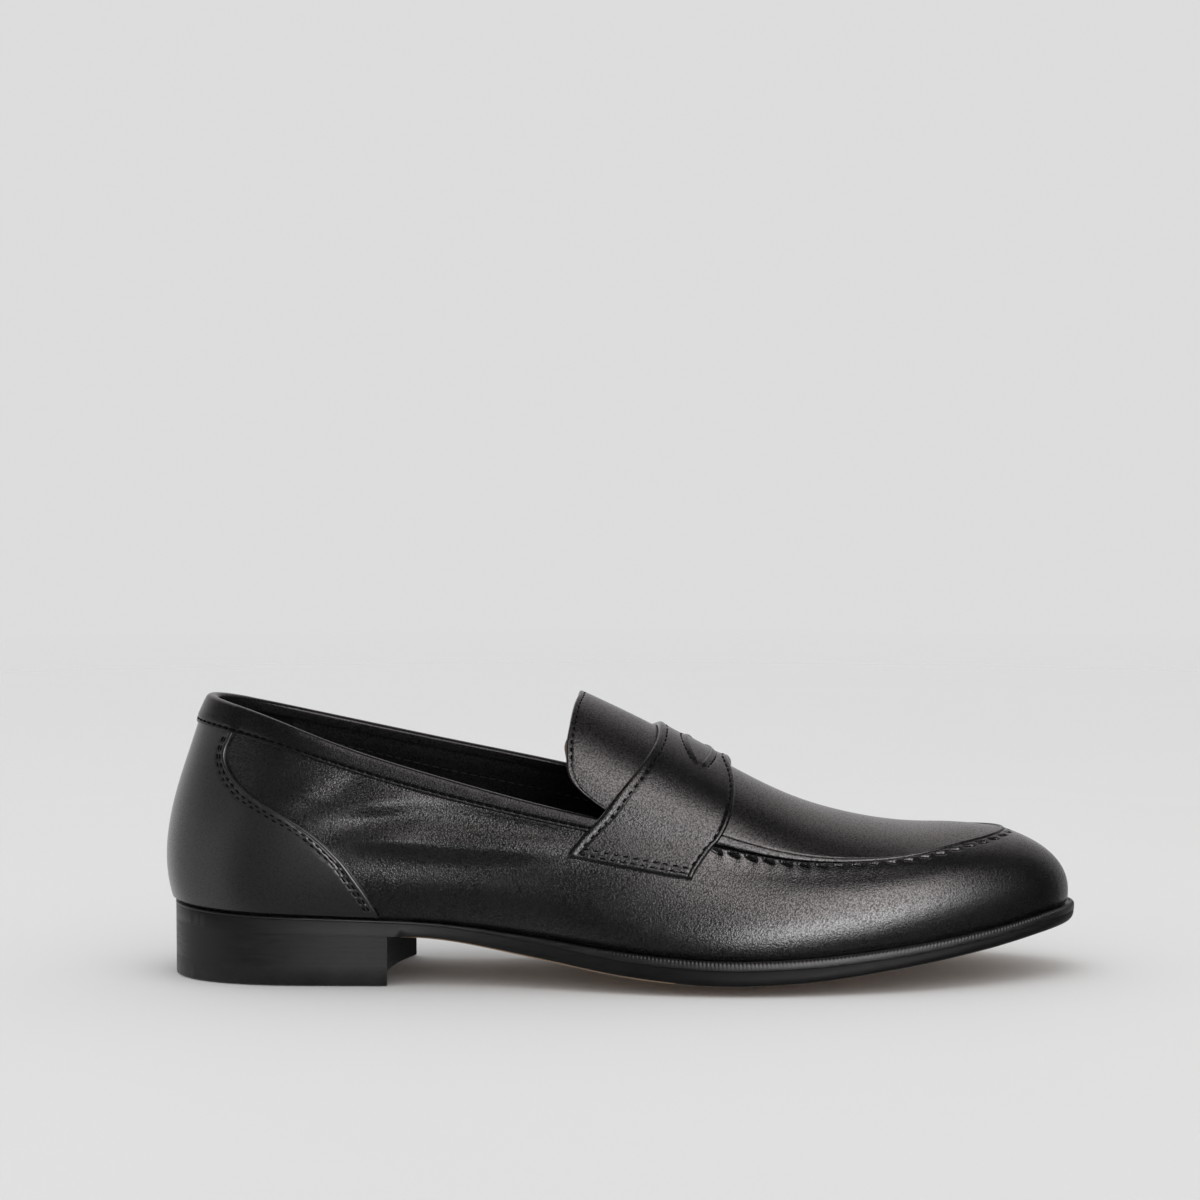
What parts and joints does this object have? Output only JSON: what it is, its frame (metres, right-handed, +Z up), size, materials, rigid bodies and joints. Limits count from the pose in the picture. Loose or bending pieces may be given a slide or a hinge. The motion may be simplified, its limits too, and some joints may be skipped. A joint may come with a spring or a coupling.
{
  "type": "penny loafer",
  "caption": "Black leather slip-on shoe with a moccasin apron, a slotted saddle strap, a leather sole and a low stacked heel.",
  "frame": {"origin": "on the ground below the middle of the shoe's box", "axes": "+X towards the toe, +Y towards the inner (medial) side of the right foot, +Z up"},
  "size_m": [0.3039, 0.105, 0.094],
  "materials": {
    "upper_leather": "smooth black calf with a fine grain, semi-gloss",
    "apron_leather": "smooth black calf with a fine grain, semi-gloss",
    "foxing_leather": "smooth black calf, semi-gloss",
    "strap_leather": "smooth black calf with folded edges, semi-gloss",
    "binding_leather": "thin folded black calf, semi-gloss",
    "lining_leather": "matt black lining leather",
    "heel_grip_suede": "black suede",
    "tongue_lining_leather": "matt dark brown lining leather",
    "sock_leather": "matt black sock leather",
    "insole_leather": "natural insole leather",
    "welt_leather": "waxed black welt, satin",
    "sole_edge": "leather with black waxed edges, satin",
    "heel_rubber": "hard black rubber, satin",
    "nail_brass": "brass",
    "shank_steel": "spring steel",
    "cork": "cork paste",
    "foam": "foam",
    "stiffener": "stiffened cloth",
    "hand_thread": "waxed black linen thread",
    "thread": "black sewing thread"
  },
  "bodies": {
    "root": {"outsole": "sole_edge", "welt": "welt_leather", "heel_seat_lift": "sole_edge", "heel_lift_upper": "sole_edge", "heel_lift_lower": "sole_edge", "heel_top_piece": "heel_rubber", "heel_nails": "nail_brass", "shank": "shank_steel", "bottom_filler": "cork", "insole": "insole_leather", "heel_pad": "foam", "sock_liner": "sock_leather", "vamp_wall": "upper_leather", "apron": "apron_leather", "heel_foxing": "foxing_leather", "saddle_strap": "strap_leather", "topline_binding": "binding_leather", "toe_puff": "stiffener", "heel_counter": "stiffener", "vamp_lining": "lining_leather", "quarter_lining_lateral": "lining_leather", "quarter_lining_medial": "lining_leather", "heel_lining": "heel_grip_suede", "tongue_lining": "tongue_lining_leather", "apron_stitching": "hand_thread", "strap_stitching": "thread", "topline_stitching": "thread", "foxing_stitching": "thread", "tongue_stitching": "thread"}
  },
  "joints": []
}
